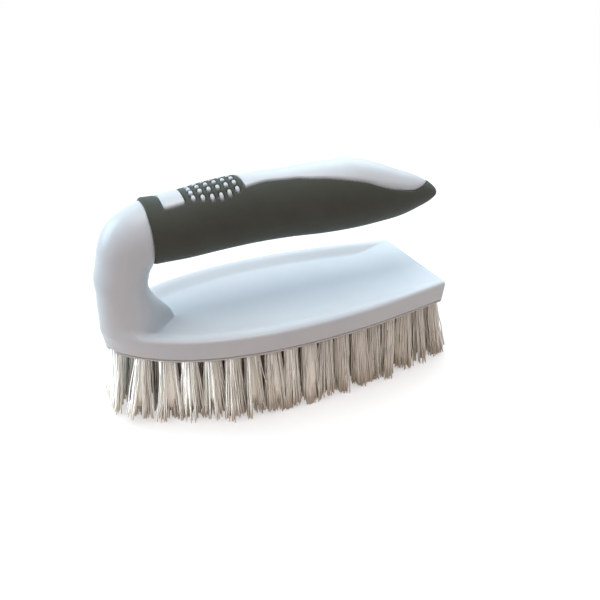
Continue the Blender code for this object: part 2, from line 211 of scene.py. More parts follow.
# Bristles. A range is the least and the most that a random draw may give.
bristle_seed = 11
tuft_hole_radius = 0.0032
tuft_hole_depth = 0.0042
tuft_hole_bevel = 0.0005
filaments_in_tuft = 108
filament_width = 0.00056
filament_width_range = (0.85, 1.15)
filament_order_range = (0.2, 0.8)
filament_points = 6
filament_sides = 3
tuft_root_radius = 0.0031
tuft_tip_radius = 0.0045
tip_spread_range = (0.8, 1.1)
bend_power_range = (0.9, 1.35)
tuft_fullness = 0.36
heart_sides = 10
heart_end = 0.0045
heart_tone = 0.45
heart_radius_shares = (0.94, 0.93, 0.90, 0.86, 0.78, 0.50)
nose_fullness_share = 0.22
clumps_in_tuft = 6
clump_waver = 0.0010
clump_shortfall = 0.0020
tuft_waver = 0.0007
filament_waver = 0.0006
ragged_length = 0.0026
ragged_power = 1.7
crimp_width = 0.00030
crimp_length = 0.0095
crimp_range = (0.2, 1.0)
side_splay = 0.0022
side_splay_power = 3
nose_splay = 0.0075
stern_splay = 0.0070
end_splay_power = 5
nose_lift = 0.0022
nose_lift_power = 8
nose_lift_range = (0.6, 1.4)
box_margin = 0.0003
ragged_margin = 0.0016
ragged_margin_power = 2

# Fineness. A band is how far from its surface a loft's distances are exact.
body_voxel = 0.00042
grip_voxel = 0.00036
fine_voxel = 0.0002
block_voxel = 0.00034
grid_margin = 0.002
stem_band = 0.008
core_band = 0.002
skin_band = 0.006
bore_band = 0.004
panel_band = 0.004
section_sides = 72
rib_steps = 6
nose_curve_steps = 90
stern_curve_steps = 60
corner_points = 10
relax_factor = 0.5
relax_rounds_first = 2
relax_rounds_last = 1
body_kept_share = 0.26
grip_kept_share = 0.20
panel_kept_share = 0.30
block_kept_share = 0.13
show_through_kept_share = 0.5

# Camera, fitted to the outline of the brush in the photo
camera_azimuth = math.radians(-25.2)
camera_elevation = math.radians(28.5)
camera_distance = 0.350281
camera_right = 0.013141
camera_down = 0.004346
camera_lens = 47.565
camera_sensor = 36.0
camera_nearest = 0.01

# Materials. A noise is its scale and detail, a stop its place and colour, and a grain its height
# and strength.
white_color = (0.74, 0.79, 0.84)
white_roughness = 0.30
white_roughness_range = (0.25, 0.35)
white_clouds = (55, 2)
white_cloud_stops = ((0.30, (0.725, 0.778, 0.830)), (0.70, (0.752, 0.800, 0.848)))
white_patches = (320, 3)
white_grain_noise = (2600, 2)
white_grain = (0.00002, 0.2)
block_color = (0.72, 0.71, 0.70)
block_roughness = 0.45
block_clouds = (90, 3)
block_cloud_stops = ((0.30, (0.69, 0.68, 0.67)), (0.70, (0.74, 0.73, 0.72)))
block_grain_noise = (2000, 2)
block_grain = (0.00003, 0.3)
grip_color = (0.092, 0.099, 0.084)
grip_roughness = 0.62
grip_roughness_range = (0.56, 0.66)
grip_clouds = (90, 3)
grip_cloud_stops = ((0.25, (0.086, 0.092, 0.078)), (0.75, (0.098, 0.106, 0.090)))
grip_patches = (60, 3)
grip_grain_noise = (3200, 3)
grip_grain = (0.00003, 0.4)
grip_specular = 0.08
grip_sheen = 0.22
grip_sheen_roughness = 0.4
grip_sheen_tint = (0.80, 0.98, 1.0, 1)
nylon_color = (0.93, 0.92, 0.87)
nylon_roughness = 0.42
nylon_tone_stops = (
    (0.0, (0.86, 0.83, 0.76)),
    (0.5, (0.94, 0.93, 0.89)),
    (1.0, (0.97, 0.965, 0.94)),
)
# Colour along each filament from root (0) to tip (1): browner over the last fifth towards the tip.
nylon_tip_stops = (
    (0.0, (1.0, 1.0, 1.0)),
    (0.80, (1.0, 0.99, 0.97)),
    (1.0, (0.88, 0.81, 0.72)),
)

# Studio. A lamp is its name, place, size, power and colour.
floor_half_size = 0.4
floor_roughness = 0.9
floor_bounce = (0.82, 0.69, 0.63)
floor_seen = (0.60, 0.60, 0.60)
floor_seen_glow = 0.54
light_from_above = (0.534, 0.480, 0.449)
light_from_nose = (0.090, 0.020, 0.010)
light_from_behind = (0.575, 0.780, 0.920)
lamp_target = (0, 0, 0.05)
lamps = (
    ("top", (0, 0, 1.0), (0.8, 0.8), 4.8, (0.935, 0.974, 1.0)),
    ("back_right", (0.6, 0.6, 0.6), (0.7, 0.7), 2.0, (0.57, 0.83, 1.0)),
    ("back_left", (-0.6, 0.6, 0.35), (0.6, 0.6), 3.7, (0.56, 0.84, 1.0)),
)
bristle_fills = (
    ("fill_front", (0, -0.9, 0.35), (0.8, 0.8), 1.5, (1.0, 0.90, 0.76)),
    ("fill_left", (-0.9, 0.1, 0.12), (0.5, 0.2), 14.5, (0.80, 0.91, 1.0)),
)


def make_camera():
    """Camera at its distance from the middle of the rim, moved to the right and down."""
    a, e = camera_azimuth, camera_elevation
    back = Vector((math.sin(a) * math.cos(e), -math.cos(a) * math.cos(e), math.sin(e)))
    right = Vector((math.cos(a), math.sin(a), 0))
    up = back.cross(right)
    place = Vector((base_middle_x, 0, rim_z))
    place += back * camera_distance + right * camera_right - up * camera_down
    matrix = Matrix((right, up, back)).transposed().to_4x4()
    matrix.translation = place
    data = bpy.data.cameras.new("camera")
    data.sensor_width = camera_sensor
    data.lens = camera_lens
    data.clip_start = camera_nearest
    camera = bpy.data.objects.new("camera", data)
    camera.matrix_world = matrix
    bpy.context.scene.collection.objects.link(camera)
    bpy.context.scene.camera = camera


# Outlines and distances in plan


def bezier(points, steps):
    """Points along a cubic curve with these four control points."""
    a, b, c, d = (np.array(point, float) for point in points)
    t = np.linspace(0, 1, steps + 1)[:, None]
    s = 1 - t
    return a * s**3 + b * (3 * s * s * t) + c * (3 * s * t * t) + d * t**3


def base_outline():
    """The base's outline at its widest, as a closed polygon."""
    half_width = base_width / 2
    half_stern = stern_width / 2
    stern_run = stern_x - widest_x
    rear_pull = stern_run * stern_curve_shares[1]
    nose_curve = bezier(
        (
            (nose_x, 0),
            (nose_x, nose_fullness),
            (widest_x - nose_sweep, half_width),
            (widest_x, half_width),
        ),
        nose_curve_steps,
    )
    stern_curve = bezier(
        (
            (widest_x, half_width),
            (widest_x + stern_run * stern_curve_shares[0], half_width),
            (stern_x - rear_pull, half_stern + rear_pull * stern_slope),
            (stern_x, half_stern),
        ),
        stern_curve_steps,
    )
    kept = stern_curve[stern_curve[:, 0] < stern_x - stern_corner_shown]
    t = np.linspace(0, 1, corner_points)[:, None]
    corner = np.array((stern_x, half_stern))
    end = corner + np.array((0, -stern_corner_shown))
    arc = kept[-1] * (1 - t) ** 2 + corner * (2 * t * (1 - t)) + end * t * t
    side = np.concatenate((nose_curve[:-1], kept[:-1], arc))
    return np.concatenate((side * (1, -1), side[:0:-1]))


def draft_at(x):
    """How far the base's walls lean in at their lower edge, which is more at the nose."""
    nose_share = np.clip((nose_x + nose_draft_reach - x) / nose_draft_reach, 0, 1)
    return wall_draft + (nose_draft - wall_draft) * nose_share


def outline_distance(outline, xs, ys):
    """Signed distance in plan from each grid place to a closed polygon, negative inside."""
    px, py = np.meshgrid(xs, ys, indexing="ij")
    nearest = np.full(px.shape, np.inf)
    inside = np.zeros(px.shape, bool)
    for (ax, ay), (bx, by) in zip(outline, np.roll(outline, -1, axis=0)):
        dx, dy = bx - ax, by - ay
        length = dx * dx + dy * dy
        if length == 0:
            continue
        t = np.clip(((px - ax) * dx + (py - ay) * dy) / length, 0, 1)
        nearest = np.minimum(nearest, (px - ax - t * dx) ** 2 + (py - ay - t * dy) ** 2)
        if ay != by:
            crossed = (ay > py) != (by > py)
            inside ^= crossed & (px < ax + (py - ay) * dx / dy)
    return np.where(inside, -1, 1) * np.sqrt(nearest)


def box_distance(px, py, x, y, half_x, half_y, radius):
    """Signed distance in plan to a rectangle with rounded corners."""
    qx = np.abs(px - x) - (half_x - radius)
    qy = np.abs(py - y) - (half_y - radius)
    outside = np.hypot(np.maximum(qx, 0), np.maximum(qy, 0))
    return outside + np.minimum(np.maximum(qx, qy), 0) - radius


# Distance fields


class Grid:
    """A box of voxels. Fields on it are arrays of signed distances."""

    def __init__(self, low, high, voxel):
        self.voxel = voxel
        self.low = tuple(math.floor((value - grid_margin) / voxel) for value in low)
        high = tuple(math.ceil((value + grid_margin) / voxel) for value in high)
        self.shape = tuple(b - a + 1 for a, b in zip(self.low, high))
        self.transform = openvdb.createLinearTransform(voxel)
        self.xs, self.ys, self.zs = (
            (first + np.arange(count)) * voxel for first, count in zip(self.low, self.shape)
        )

    def from_loft(self, rings, band):
        """Field of the closed tube through the rings, exact as far as band from its surface."""
        points = np.concatenate(rings).astype(np.float32)
        count = len(rings[0])
        a = np.arange(count)
        b = (a + 1) % count
        quads = [
            np.stack((i * count + a, i * count + b, (i + 1) * count + b, (i + 1) * count + a), 1)
            for i in range(len(rings) - 1)
        ]
        ends = []
        for ring, turn in ((0, 1), (len(rings) - 1, -1)):
            first = ring * count
            fan = np.stack((np.full(count - 2, first), first + a[2:], first + a[1:-1]), 1)
            ends.append(fan[:, ::turn])
        field = openvdb.FloatGrid.createLevelSetFromPolygons(
            points,
            triangles=np.concatenate(ends).astype(np.uint32),
            quads=np.concatenate(quads).astype(np.uint32),
            transform=self.transform,
            halfWidth=band / self.voxel,
        )
        values = np.empty(self.shape, np.float32)
        field.copyToArray(values, ijk=self.low)
        return values

    def to_mesh(self, name, values, keep):
        """Smooth mesh of the field's zero surface, thinned to a share of its faces."""
        grid = openvdb.FloatGrid(float(values.max()))
        grid.copyFromArray(values.astype(np.float32), ijk=self.low)
        grid.transform = self.transform
        points, quads = grid.convertToQuads(0)
        mesh = bpy.data.meshes.new(name)
        mesh.from_pydata(points.tolist(), [], quads[:, ::-1].tolist())
        item = bpy.data.objects.new(name, mesh)
        bpy.context.scene.collection.objects.link(item)
        relax(item, relax_rounds_first)
        thin = item.modifiers.new("thin", "DECIMATE")
        thin.ratio = keep
        relax(item, relax_rounds_last)
        settle(item)
        return item


def smooth_min(a, b, reach):
    """The nearer of two fields, with a fillet of about reach where they meet."""
    h = np.maximum(reach - np.abs(a - b), 0) / reach
    return np.minimum(a, b) - h * h * reach / 4


def smooth_max(a, b, reach):
    """The further of two fields, rounded over about reach where they meet."""
    return -smooth_min(-a, -b, reach)


def relax(item, rounds):
    """Add a modifier that evens out the steps of the voxels."""
    modifier = item.modifiers.new("relax", "SMOOTH")
    modifier.factor = relax_factor
    modifier.iterations = rounds


def settle(item):
    """Replace an object's mesh by what its modifiers make of it."""
    graph = bpy.context.evaluated_depsgraph_get()
    graph.update()
    mesh = bpy.data.meshes.new_from_object(item.evaluated_get(graph))
    old = item.data
    item.modifiers.clear()
    item.data = mesh
    bpy.data.meshes.remove(old)
    mesh.name = item.name
    mesh.shade_smooth()


# Handle


def post_and_bend_ribs(seam):
    """Ribs from the foot up to the seam: outer x and z, inner x and z, half width, toe share."""
    ribs = []
    for (height, front, back, width, toe), trim in zip(post_rib_shares, foot_trim_shares):
        z = rim_z + height * finger_gap
        outer_x = nose_x + front * post_depth
        inner_x = nose_x + (back - trim) * post_depth
        half_width = width * post_width / 2
        ribs.append((outer_x, z, inner_x, z, half_width, toe))
    seam_top, seam_half_width = seam[1], seam[4]
    for outer_x, outer_z, inner_x, inner_z, share in bend_rib_shares:
        ribs.append(
            (
                nose_x + outer_x * bend_reach,
                rim_z + outer_z * (seam_top - rim_z),
                nose_x + inner_x * bend_reach,
                rim_z + inner_z * finger_gap,
                half_width * (1 - share) + seam_half_width * share,
                0,
            )
        )
    return ribs


def grip_ribs(inset=0.0):
    """Ribs from the seam back to the tip, drawn in all round by inset."""
    ribs = []
    for along, under, depth, width, lean in grip_rib_shares:
        x = seam_x + along * grip_length
        z = rim_z + under * finger_gap
        top = z + depth * handle_depth
        half_width = width * handle_width / 2
        ribs.append((x - lean * seam_lean, top - inset, x, z + inset, half_width - inset, 0))
    return ribs


def smoothed(rows):
    """Rows of numbers on a smooth curve through the given ones, with the first four two places.

    The first place goes no further forward or up than it does in the given rows.
    """
    rows = np.array(rows, float)
    middle = (rows[:, :2] + rows[:, 2:4]) / 2
    gaps = np.linalg.norm(np.diff(middle, axis=0), axis=1) ** 0.5
    slopes = np.empty_like(rows)
    rise = np.diff(rows, axis=0) / gaps[:, None]
    slopes[0], slopes[-1] = rise[0], rise[-1]
    before, after = gaps[:-1, None], gaps[1:, None]
    slopes[1:-1] = (rise[:-1] * after + rise[1:] * before) / (before + after)
    t = np.linspace(0, 1, rib_steps, endpoint=False)[:, None]
    made = []
    for i, gap in enumerate(gaps):
        start, end = rows[i], rows[i + 1]
        curve = start * (2 * t**3 - 3 * t**2 + 1) + end * (3 * t**2 - 2 * t**3)
        curve += gap * (slopes[i] * (t**3 - 2 * t**2 + t) + slopes[i + 1] * (t**3 - t**2))
        made.append(curve)
    made.append(rows[-1:])
    made = np.concatenate(made)
    made[:, 0] = np.maximum(made[:, 0], rows[:, 0].min())
    made[:, 1] = np.minimum(made[:, 1], rows[:, 1].max())
    return made


def section(rib, inset=0.0):
    """Rounded section of the handle at a rib, drawn in by inset."""
    outer_x, outer_z, inner_x, inner_z, half_width, toe = rib
    outer = np.array((outer_x, 0, outer_z))
    inner = np.array((inner_x, 0, inner_z))
    depth = np.linalg.norm(outer - inner)
    upward = (outer - inner) / depth
    turn = np.linspace(0, math.tau, section_sides, endpoint=False)
    c, s = np.cos(turn), np.sin(turn)
    rise = np.copysign(np.abs(c) ** (2 / section_power), c) * (depth / 2 - inset)
    side = np.copysign(np.abs(s) ** (2 / section_power), s) * (half_width - inset)
    side *= 1 - toe * np.maximum(0, -c) ** toe_power
    ring = (outer + inner) / 2 + rise[:, None] * upward
    ring[:, 1] += side
    return ring


def handle_rings(inset=0.0, start_shift=0.0):
    """Sections from the seam, moved back there by start_shift, to the tip, drawn in by inset."""
    rings = [section(rib, inset) for rib in smoothed(grip_ribs())]
    rings[0][:, 0] += start_shift
    for ring in rings:
        ring[:, 0] = np.minimum(ring[:, 0], tip_x - inset)
    return rings


def section_floor(xs, share):
    """Height in the handle at each x: share 0 is the middle of the section, 1 its top."""
    outer_x, outer_z, inner_x, inner_z = smoothed(grip_ribs())[:, :4].T
    top = np.interp(xs, outer_x, outer_z)
    bottom = np.interp(xs, inner_x, inner_z)
    return (top + bottom) / 2 + share * (top - bottom) / 2


# Pieces


def make_body(outline, white):
    """Base shell, post, bend and core in one smooth form, with window and pips on top."""
    wall_end_z = flange_z + seam_gap
    low = (nose_x, -base_width / 2, wall_end_z)
    grid = Grid(low, (tip_x, base_width / 2, handle_top_z), body_voxel)
    reach = outline_distance(outline, grid.xs, grid.ys)[:, :, None]
    x = grid.xs[:, None, None]
    z = grid.zs[None, None, :]

    # The dish falls gently from the rim, over a longer way towards the stern
    to_stern = np.clip((stern_x - x) / dish_stern_slope, 0, 1)
    fall_side = np.clip((-reach - rim_round - rim_flat) / dish_slope, 0, 1)
    fall = np.minimum(fall_side, to_stern)
    top = z - rim_z + dish_depth * (1 - np.cos(math.pi * fall)) / 2

    # The post rises from the dish in a fillet that stays inside the base's wall
    seam = grip_ribs()[0]
    stem_ribs = smoothed(post_and_bend_ribs(seam) + [grip_ribs(seam_step)[0]])
    stem = grid.from_loft([section(rib) for rib in stem_ribs], stem_band)
    toe_share = np.clip((x - nose_x - foot_fillet_end) / foot_fillet_fade, 0, 1)
    fillet = foot_fillet + (foot_toe_fillet - foot_fillet) * toe_share
    top = smooth_min(top, stem, fillet)
    wall_height = rim_z - rim_round - wall_end_z
    lean = draft_at(x) * np.clip((rim_z - rim_round - z) / wall_height, 0, 1)
    base = smooth_max(reach + lean, top, rim_blend)
    base = smooth_max(base, wall_end_z - z, lower_edge_round)

    core_ribs = smoothed(grip_ribs(grip_thickness)[:core_rib_count])
    core = grid.from_loft([section(rib) for rib in core_ribs], core_band)
    values = np.minimum(smooth_min(base, stem, foot_join), core)
    pocket = np.maximum(reach + wall_draft + wall_thickness, z - ceiling_z)
    values = np.maximum(values, -pocket)
    body = grid.to_mesh("moulding", values, body_kept_share)
    show_through = make_show_through()
    join = body.modifiers.new("join", "BOOLEAN")
    join.operation = "UNION"
    join.solver = "MANIFOLD"
    join.object = show_through
    settle(body)
    bpy.data.objects.remove(show_through)
    finish_piece(body, white, "body_moulding")


def pip_places():
    """Middle of each pip, in rows across the handle, each with its own share of the span."""
    for row, share in enumerate(pip_row_shares):
        for i in range(pips_in_row):
            y = (i / (pips_in_row - 1) - 1 / 2) * share * (pip_span - pip_length)
            yield nose_x + pip_start + row * pip_pitch, y


def show_through_distance(grid, grow):
    """Distance in plan to the window and the nearest pip, grown by grow."""
    px, py = np.meshgrid(grid.xs, grid.ys, indexing="ij")
    middle_x = nose_x + window_start + window_length / 2
    nearest = box_distance(
        px, py, middle_x, 0, window_length / 2, window_width / 2, window_corner
    )
    for x, y in pip_places():
        pip = box_distance(px, py, x, y, pip_breadth / 2, pip_length / 2, pip_breadth / 2)
        nearest = np.minimum(nearest, pip)
    return (nearest - grow)[:, :, None]


def make_show_through():
    """Window and pips, from inside the handle's core up to just above the grip's skin."""
    last_pip = pip_start + len(pip_row_shares) * pip_pitch
    low = (nose_x + window_start, -pip_span / 2, handle_top_z - handle_depth / 2)
    grid = Grid(low, (nose_x + last_pip, pip_span / 2, handle_top_z), fine_voxel)
    skin = grid.from_loft(handle_rings(), skin_band) - pip_rise
    values = smooth_max(show_through_distance(grid, 0), skin, 2 * hole_edge_round)
    values = np.maximum(values, -show_through_depth - skin)
    return grid.to_mesh("show_through", values, show_through_kept_share)


def panel_outline():
    """The long panel's outline in plan, as a closed polygon."""
    start = nose_x + panel_start
    rows = []
    for along, width in panel_half_width_shares:
        x = start + along * panel_length
        rows.append((x, 0, x, 0, width * panel_width / 2))
    side = smoothed(rows)[:, (0, 4)]
    return np.concatenate((side * (1, -1), side[::-1]))


def make_grip(rubber):
    """Sleeve over the core, with openings for the window, the pips and the panel."""
    low = (seam_x - seam_lean, -handle_width / 2, gap_top_z)
    grid = Grid(low, (tip_x, handle_width / 2, handle_top_z), grip_voxel)
    edge = grip_edge_round
    outer = grid.from_loft(handle_rings(edge, fit_gap + edge), skin_band) - edge
    core_end_x = grip_ribs()[core_rib_count - 1][2] + fit_gap
    bore_ribs = [rib for rib in smoothed(grip_ribs()) if rib[2] <= core_end_x]
    bore_rings = [section(rib, grip_thickness - fit_gap) for rib in bore_ribs]
    bore_rings[0] = bore_rings[0] - (bore_overrun, 0, 0)
    bore = grid.from_loft(bore_rings, bore_band)
    xs = grid.xs
    z = grid.zs[None, None, :]
    show_through = show_through_distance(grid, fit_gap)
    pip_floor = section_floor(xs, show_through_floor_share)[:, None, None]
    panel = (outline_distance(panel_outline(), xs, grid.ys) - fit_gap)[:, :, None]
    panel_floor = section_floor(xs, panel_floor_share)[:, None, None]
    holes = np.minimum(np.maximum(show_through, pip_floor - z), np.maximum(panel, panel_floor - z))
    values = np.maximum(outer, -bore)
    values = smooth_max(values, -holes, 2 * hole_edge_round)
    grip = grid.to_mesh("grip", values, grip_kept_share)
    finish_piece(grip, rubber, "soft_grip")


def make_panel(white):
    """Long cap that lies in the grip's opening, level with its skin."""
    low = (nose_x + panel_start, -panel_width / 2, handle_top_z - handle_depth / 2)
    grid = Grid(low, (tip_x - panel_tip_margin, panel_width / 2, handle_top_z), grip_voxel)
    skin = grid.from_loft(handle_rings(), panel_band)
    sides = outline_distance(panel_outline(), grid.xs, grid.ys)[:, :, None]
    values = smooth_max(skin, sides, 2 * panel_edge_round)
    values = np.maximum(values, fit_gap - grip_thickness - skin)
    floor = section_floor(grid.xs, panel_floor_share)[:, None, None] + fit_gap
    values = np.maximum(values, floor - grid.zs[None, None, :])
    panel = grid.to_mesh("panel", values, panel_kept_share)
    finish_piece(panel, white, "handle_panel")


def row_x(number):
    return base_middle_x + (number - (row_count - 1) / 2) * row_pitch


def base_half_width(outline, x):
    """Half width of the base's lower edge at a place along the brush."""
    side = outline[outline[:, 1] >= 0]
    side = side[np.argsort(side[:, 0])]
    return np.interp(x, side[:, 0], side[:, 1]) - draft_at(x)


def tuft_places(outline, number):
    """The y of each tuft in a row, spread evenly at about the tuft pitch."""
    x = row_x(number)
    ends = (x - strip_half_width, x + strip_half_width)
    half_span = min(base_half_width(outline, end) for end in ends) - tuft_edge_margin
    count = round(2 * half_span / tuft_pitch) + 1
    if count < 2:
        return [0.0]
    return [half_span * (2 * i / (count - 1) - 1) for i in range(count)]


def make_block(outline, plastic_white):
    """Plate in the shell's pocket, with a flange under the wall and a hole for each tuft."""
    low = (nose_x, -base_width / 2, block_z)
    grid = Grid(low, (stern_x, base_width / 2, ceiling_z), block_voxel)
    reach = outline_distance(outline, grid.xs, grid.ys)[:, :, None]
    z = grid.zs[None, None, :]
    draft = draft_at(grid.xs)[:, None, None]
    flange = smooth_max(reach + draft, block_z - z, 2 * flange_bevel)
    flange = np.maximum(flange, z - flange_z)
    spigot = np.maximum(reach + wall_draft + wall_thickness + fit_gap, z - ceiling_z + fit_gap)
    spigot = np.maximum(spigot, block_z - z)
    values = np.minimum(flange, spigot)
    px, py = np.meshgrid(grid.xs, grid.ys, indexing="ij")
    nearest = np.full(px.shape, base_length)
    for number in range(row_count):
        for y in tuft_places(outline, number):
            nearest = np.minimum(nearest, np.hypot(px - row_x(number), py - y))
    holes = nearest[:, :, None] - tuft_hole_radius
    holes = np.maximum(holes, z - block_z - tuft_hole_depth)
    values = smooth_max(values, -holes, 2 * tuft_hole_bevel)
    block = grid.to_mesh("block", values, block_kept_share)
    finish_piece(block, plastic_white, "bristle_block")


# Bristles


def tuft_lean(x, y):
    """How far a tuft leans outwards at its tip, more towards the edges of the brush."""
    along = (x - base_middle_x) / (base_length / 2)
    across = y / (base_width / 2)
    end_splay = stern_splay if along > 0 else nose_splay
    return np.array((end_splay * along**end_splay_power, side_splay * across**side_splay_power))


def tuft_paths(x, y, low, high, chance):
    """Centre lines of one tuft's filaments, from inside the hole down to the tips."""
    count = filaments_in_tuft
    turn = chance.uniform(0, math.tau, count)
    out = np.stack((np.cos(turn), np.sin(turn)), 1)
    order = (np.arange(count) + chance.uniform(*filament_order_range, count)) / count
    spread = order[:, None] ** tuft_fullness
    along = (x - base_middle_x) / (base_length / 2)
    fuller = 1 + nose_fullness_share * max(0, -along)
    root = out * spread * tuft_root_radius
    tip = out * spread * tuft_tip_radius * fuller * chance.uniform(*tip_spread_range, (count, 1))
    clump = (turn / math.tau * clumps_in_tuft).astype(int)
    tip += chance.normal(0, clump_waver, (clumps_in_tuft, 2))[clump]
    tip += chance.normal(0, filament_waver, (count, 2))
    tip += tuft_lean(x, y) + chance.normal(0, tuft_waver, 2)
    tip += (x, y)
    margin = ragged_margin * chance.random((count, 2)) ** ragged_margin_power
    tip = np.clip(tip, low + margin, high - margin)
    tip_z = ragged_length * chance.random(count) ** ragged_power
    tip_z += (clump_shortfall * chance.random(clumps_in_tuft) ** ragged_power)[clump]
    lift = nose_lift * max(0, -along) ** nose_lift_power
    tip_z += lift * chance.uniform(*nose_lift_range, count)
    t = np.linspace(0, 1, filament_points)[None, :, None]
    bend = t ** chance.uniform(*bend_power_range, count)[:, None, None]
    root += (x, y)
    flat = root[:, None, :] + (tip - root)[:, None, :] * bend
    phase = chance.uniform(0, math.tau, (count, 1, 2))
    wave = chance.uniform(*crimp_range, (count, 1, 2)) * crimp_width * np.sin(math.pi * t)
    flat = flat + wave * np.sin(phase + t * math.tau * bristle_length / crimp_length)
    top = block_z + tuft_hole_depth / 2
    height = top + (tip_z[:, None, None] - top) * t
    return np.concatenate((flat, height), 2)


def tuft_heart(paths):
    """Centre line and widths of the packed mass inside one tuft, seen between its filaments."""
    middle = paths.mean(axis=0)
    reach = np.linalg.norm(paths[:, :, :2] - middle[:, :2], axis=2).mean(axis=0)
    down = np.linspace(0, 1, filament_points)
    middle[:, 2] += heart_end * down
    return middle, 2 * reach * heart_radius_shares


def strands(paths, widths, tones, sides, first):
    """Thin closed tubes along the paths: points, faces, tones, and shares of the way down.

    The faces count the points from first.
    """
    count, steps = paths.shape[:2]
    turn = np.linspace(0, math.tau, sides, endpoint=False)
    around = np.stack((np.cos(turn), np.sin(turn), np.zeros_like(turn)), 1)
    points = paths[:, :, None, :] + around * (widths / 2)[:, :, None, None]
    s = np.arange(sides)
    rings = np.arange(count)[:, None, None] * steps + np.arange(steps - 1)[:, None]
    ring = first + rings * sides
    a = ring + s
    b = ring + (s + 1) % sides
    walls = np.stack((a, a + sides, b + sides, b), 3).reshape(-1, 4)
    roots = first + np.arange(count)[:, None] * steps * sides + s
    tips = roots[:, ::-1] + (steps - 1) * sides
    faces = walls.tolist() + roots.tolist() + tips.tolist()
    shares = np.tile(np.repeat(np.linspace(0, 1, steps), sides), count)
    return points.reshape(-1, 3), faces, np.repeat(tones, steps * sides), shares


def bristle_mesh(name, groups):
    """One object of all the tubes, with their tones and shares of length as attributes."""
    points, faces, tones, shares = [], [], [], []
    for group in groups:
        made = strands(*group, first=sum(map(len, points)))
        points.append(made[0])
        faces += made[1]
        tones.append(made[2])
        shares.append(made[3])
    mesh = bpy.data.meshes.new(name)
    mesh.from_pydata(np.concatenate(points).tolist(), [], faces)
    mesh.shade_smooth()
    for key, values in (("tone", tones), ("down", shares)):
        layer = mesh.attributes.new(key, "FLOAT", "POINT")
        layer.data.foreach_set("value", np.concatenate(values).astype(np.float32))
    item = bpy.data.objects.new(name, mesh)
    bpy.context.scene.collection.objects.link(item)
    return item


def make_bristles(outline, nylon):
    """A row of tufts for each of the CAD's rows, kept inside the box that those rows take up."""
    lows, highs = zip(*(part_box(f"tuft_row_{n + 1:02d}") for n in range(row_count)))
    low = np.array((nose_x, min(corner[1] for corner in lows))) + box_margin
    high = np.array((tip_x, max(corner[1] for corner in highs))) - box_margin
    chance = np.random.default_rng(bristle_seed)
    rows = []
    for number in range(row_count):
        x = row_x(number)
        tufts = [tuft_paths(x, y, low, high, chance) for y in tuft_places(outline, number)]
        paths = np.concatenate(tufts)
        widths = filament_width * chance.uniform(*filament_width_range, (len(paths), 1))
        widths = np.repeat(widths, filament_points, axis=1)
        hearts, heart_widths = map(np.array, zip(*map(tuft_heart, tufts)))
        groups = (
            (paths, widths, chance.random(len(paths)), filament_sides),
            (hearts, heart_widths, np.full(len(hearts), heart_tone), heart_sides),
        )
        row = bristle_mesh(f"bristles_{number + 1:02d}", groups)
        finish_piece(row, nylon, f"tuft_row_{number + 1:02d}")
        rows.append(row)
    return rows


def finish_piece(item, material, node):
    """Dress a piece and let it stand for its CAD node."""
    item.data.materials.clear()
    item.data.materials.append(material)
    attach(item, "root")
    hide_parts(node)


# Materials


def new_material(name, color, roughness):
    """A material with its shader. Noises that are linked later take the place of either value."""
    material = bpy.data.materials.new(name)
    material.use_nodes = True
    material.diffuse_color = (*color, 1)
    shader = material.node_tree.nodes["Principled BSDF"]
    shader.inputs["Base Color"].default_value = (*color, 1)
    shader.inputs["Roughness"].default_value = roughness
    return material, shader


def noise(tree, scale, detail):
    """Noise in the object's own coordinates, from 0 to 1."""
    place = tree.nodes.new("ShaderNodeTexCoord")
    texture = tree.nodes.new("ShaderNodeTexNoise")
    texture.inputs["Scale"].default_value = scale
    texture.inputs["Detail"].default_value = detail
    tree.links.new(place.outputs["Object"], texture.inputs["Vector"])
    return texture.outputs["Fac"]


def ramp(tree, value, stops):
    """Colour that runs from stop to stop as the value rises."""
    node = tree.nodes.new("ShaderNodeValToRGB")
    for element, (place, color) in zip(node.color_ramp.elements, (stops[0], stops[-1])):
        element.position = place
        element.color = (*color, 1)
    for place, color in stops[1:-1]:
        element = node.color_ramp.elements.new(place)
        element.color = (*color, 1)
    tree.links.new(value, node.inputs["Fac"])
    return node.outputs["Color"]


def spread(tree, value, low, high):
    """A value from 0 to 1, brought to run from low to high."""
    node = tree.nodes.new("ShaderNodeMapRange")
    node.inputs["To Min"].default_value = low
    node.inputs["To Max"].default_value = high
    tree.links.new(value, node.inputs["Value"])
    return node.outputs["Result"]


def bump(tree, shader, height, distance, strength):
    node = tree.nodes.new("ShaderNodeBump")
    node.inputs["Distance"].default_value = distance
    node.inputs["Strength"].default_value = strength
    tree.links.new(height, node.inputs["Height"])
    tree.links.new(node.outputs["Normal"], shader.inputs["Normal"])


def attribute(tree, name):
    node = tree.nodes.new("ShaderNodeAttribute")
    node.attribute_name = name
    return node.outputs["Fac"]


def mix(tree, kind, factor, first, second):
    """Mix two colours, each a socket or a plain colour."""
    node = tree.nodes.new("ShaderNodeMix")
    node.data_type = "RGBA"
    node.blend_type = kind
    for name, value in (("Factor", factor), ("A", first), ("B", second)):
        socket = next(s for s in node.inputs if s.name == name and s.enabled)
        if isinstance(value, bpy.types.NodeSocket):
            tree.links.new(value, socket)
        elif name == "Factor":
            socket.default_value = value
        else:
            socket.default_value = (*value, 1)
    return next(s for s in node.outputs if s.name == "Result" and s.enabled)


def cloud(material, shader, clouds, stops):
    """Let the base colour drift a little from place to place."""
    tree = material.node_tree
    tree.links.new(ramp(tree, noise(tree, *clouds), stops), shader.inputs["Base Color"])


def vary_roughness(material, shader, patches, least_and_most):
    tree = material.node_tree
    roughness = spread(tree, noise(tree, *patches), *least_and_most)
    tree.links.new(roughness, shader.inputs["Roughness"])


def grain(material, shader, fineness, height_and_strength):
    tree = material.node_tree
    bump(tree, shader, noise(tree, *fineness), *height_and_strength)


